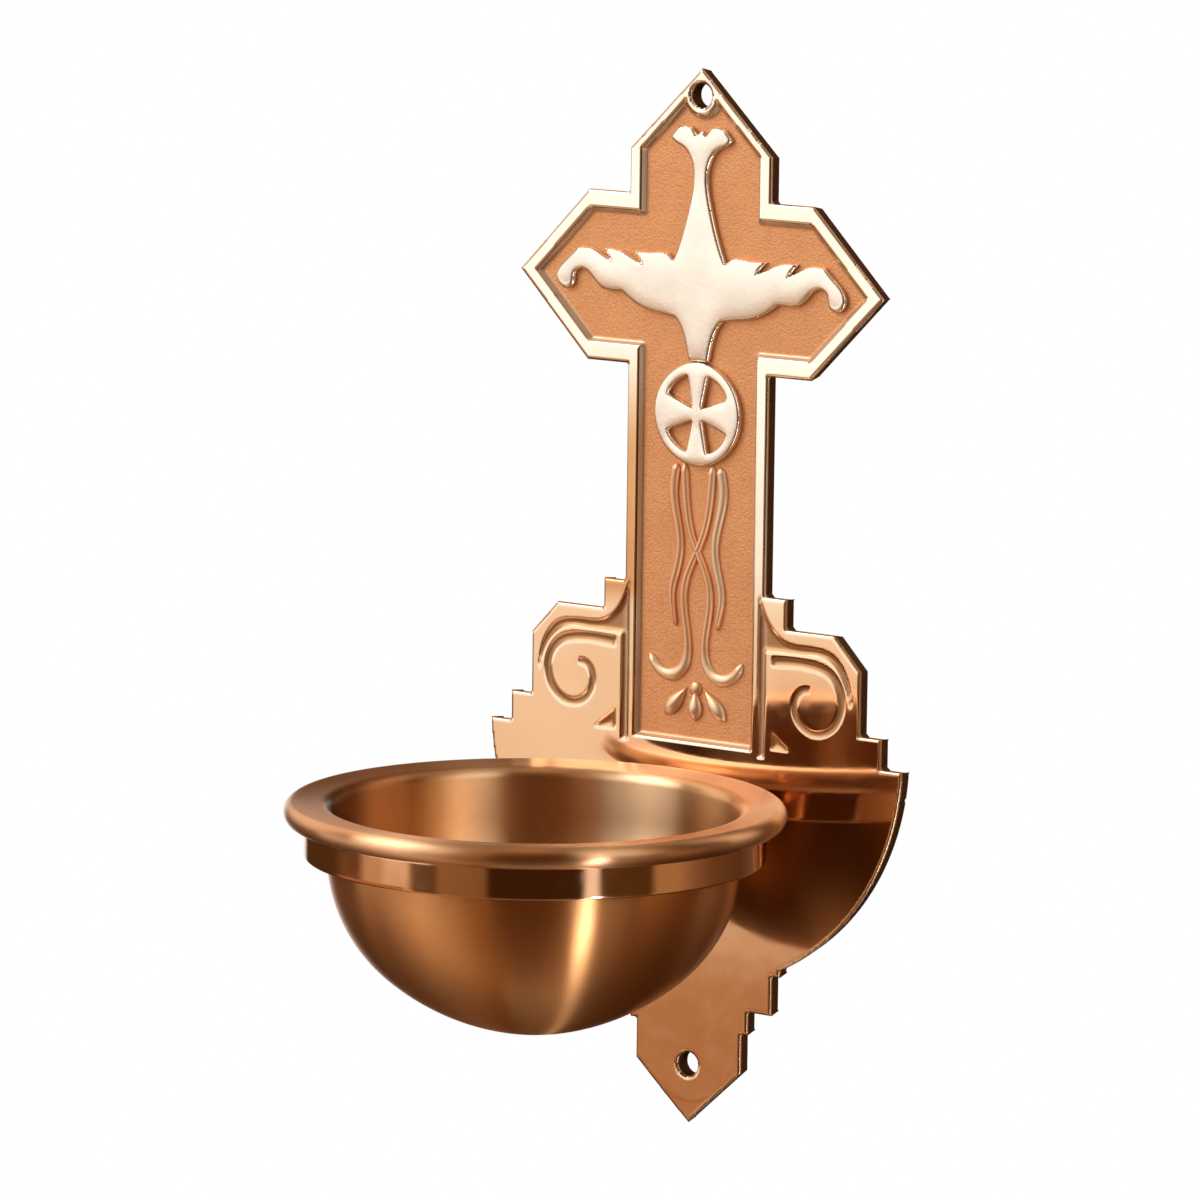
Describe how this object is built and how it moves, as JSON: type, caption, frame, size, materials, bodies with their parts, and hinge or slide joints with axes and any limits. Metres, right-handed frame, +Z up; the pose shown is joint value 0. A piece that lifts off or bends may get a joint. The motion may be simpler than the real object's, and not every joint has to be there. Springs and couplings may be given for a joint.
{
  "type": "holy water stoup",
  "caption": "Wall-hung holy water stoup: stepped cross plate with a dove in relief, a bracketed ring, and a deep round bowl that lifts out.",
  "frame": {"origin": "on the wall plane, at the back of the plate, midway between the two wall holes", "axes": "+Z up, -Y out from the wall towards the user, +X to the user's right; X = 0 is the plane of symmetry"},
  "size_m": [0.1666, 0.1722, 0.351],
  "materials": {
    "plate_bronze": "mirror polished, with a stippled matt field",
    "relief_bronze": "polished relief",
    "rivet_bronze": "peened",
    "ring_bronze": "mirror polished",
    "bracket_bronze": "satin",
    "bowl_bronze": "satin, brushed round the bowl, with a polished lip",
    "screw_brass": "turned"
  },
  "bodies": {
    "wall_side": {"wall_plate": "plate_bronze", "dove_relief": "relief_bronze", "ring_cross_relief": "relief_bronze", "ribbon_relief": "relief_bronze", "palmette_relief": "relief_bronze", "relief_rivets": "rivet_bronze", "ring_bracket": "bracket_bronze", "bracket_screws": "screw_brass", "support_ring": "ring_bronze", "ring_screw": "screw_brass"},
    "bowl_body": {"bowl": "bowl_bronze"}
  },
  "joints": [
    {"name": "bowl_lift", "type": "slide", "parent": "wall_side", "child": "bowl_body", "axis": [0, 0, 1], "range_m": [0, 0.08]}
  ]
}
